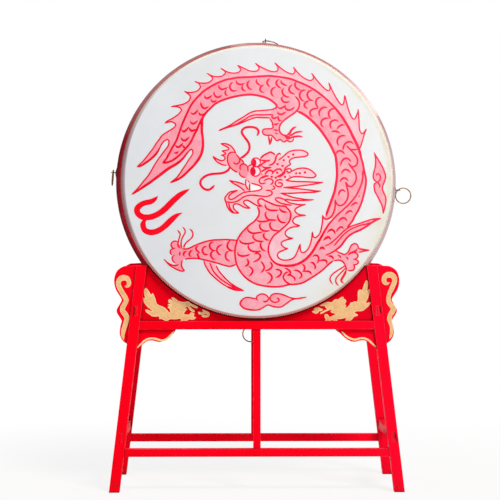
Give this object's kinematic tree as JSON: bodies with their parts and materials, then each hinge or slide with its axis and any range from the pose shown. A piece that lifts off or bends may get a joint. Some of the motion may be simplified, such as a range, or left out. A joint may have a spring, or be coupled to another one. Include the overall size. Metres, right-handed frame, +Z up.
{
  "type": "chinese barrel drum",
  "caption": "Large barrel drum with nailed hides and ring handles, on edge in the saddle of a splayed red wooden stand with scalloped boards.",
  "frame": {"origin": "on the floor, in the middle of the ground that the drum and its stand cover", "axes": "+Z up, -Y towards the listener in front of the painted head, +X to that listener's right"},
  "size_m": [1.1571, 0.56, 1.7112],
  "materials": {
    "red_paint": "glossy red enamel over wood",
    "shell_lacquer": "dark brown-red lacquer, high gloss",
    "hide": "scraped whitened hide, satin",
    "dark_iron": "dull, dark brown",
    "coppered_ring": "worn copper brown",
    "spring_steel": "bare steel wire"
  },
  "bodies": {
    "stand": {"front_left_leg": "red_paint", "front_right_leg": "red_paint", "rear_left_leg": "red_paint", "rear_right_leg": "red_paint", "front_rail": "red_paint", "rear_rail": "red_paint", "front_stretcher": "red_paint", "rear_stretcher": "red_paint", "front_centre_post": "red_paint", "rear_centre_post": "red_paint", "front_apron": "red_paint", "rear_apron": "red_paint", "front_left_ear": "red_paint", "front_right_ear": "red_paint", "rear_left_ear": "red_paint", "rear_right_ear": "red_paint", "front_left_bracket": "red_paint", "front_right_bracket": "red_paint", "rear_left_bracket": "red_paint", "rear_right_bracket": "red_paint", "left_side_rail": "red_paint", "right_side_rail": "red_paint", "left_side_stretcher": "red_paint", "right_side_stretcher": "red_paint"},
    "drum": {"drum_shell": "shell_lacquer", "front_head": "hide", "rear_head": "hide", "right_handle_plate": "dark_iron", "top_handle_plate": "dark_iron", "left_handle_plate": "dark_iron", "bottom_handle_plate": "dark_iron", "right_eye_pin": "dark_iron", "top_eye_pin": "dark_iron", "left_eye_pin": "dark_iron", "bottom_eye_pin": "dark_iron", "left_sound_spring": "spring_steel", "right_sound_spring": "spring_steel", "left_lower_spring_eye": "dark_iron", "left_upper_spring_eye": "dark_iron", "right_lower_spring_eye": "dark_iron", "right_upper_spring_eye": "dark_iron"},
    "ring_right": {"right_ring": "coppered_ring"},
    "ring_top": {"top_ring": "coppered_ring"},
    "ring_left": {"left_ring": "coppered_ring"},
    "ring_bottom": {"bottom_ring": "coppered_ring"}
  },
  "joints": [
    {"name": "drum_lift", "type": "slide", "parent": "stand", "child": "drum", "axis": [0, 0, 1], "range_m": [0, 0.3]},
    {"name": "right_ring_swing", "type": "hinge", "parent": "drum", "child": "ring_right", "pos_m": [0.52658, 0, 1.12769], "axis": [-0.048, 0, -0.9988], "range_deg": [-90, 90]},
    {"name": "top_ring_swing", "type": "hinge", "parent": "drum", "child": "ring_top", "pos_m": [0.01565, 0, 1.70165], "axis": [0.9977, 0, -0.068], "range_deg": [0, 180]},
    {"name": "left_ring_swing", "type": "hinge", "parent": "drum", "child": "ring_left", "pos_m": [-0.56904, 0, 1.19518], "axis": [0.075, 0, 0.9972], "range_deg": [-180, 0]},
    {"name": "bottom_ring_swing", "type": "hinge", "parent": "drum", "child": "ring_bottom", "pos_m": [-0.04228, 0, 0.60551], "axis": [-0.9993, 0, 0.0375], "range_deg": [-90, 90]}
  ]
}
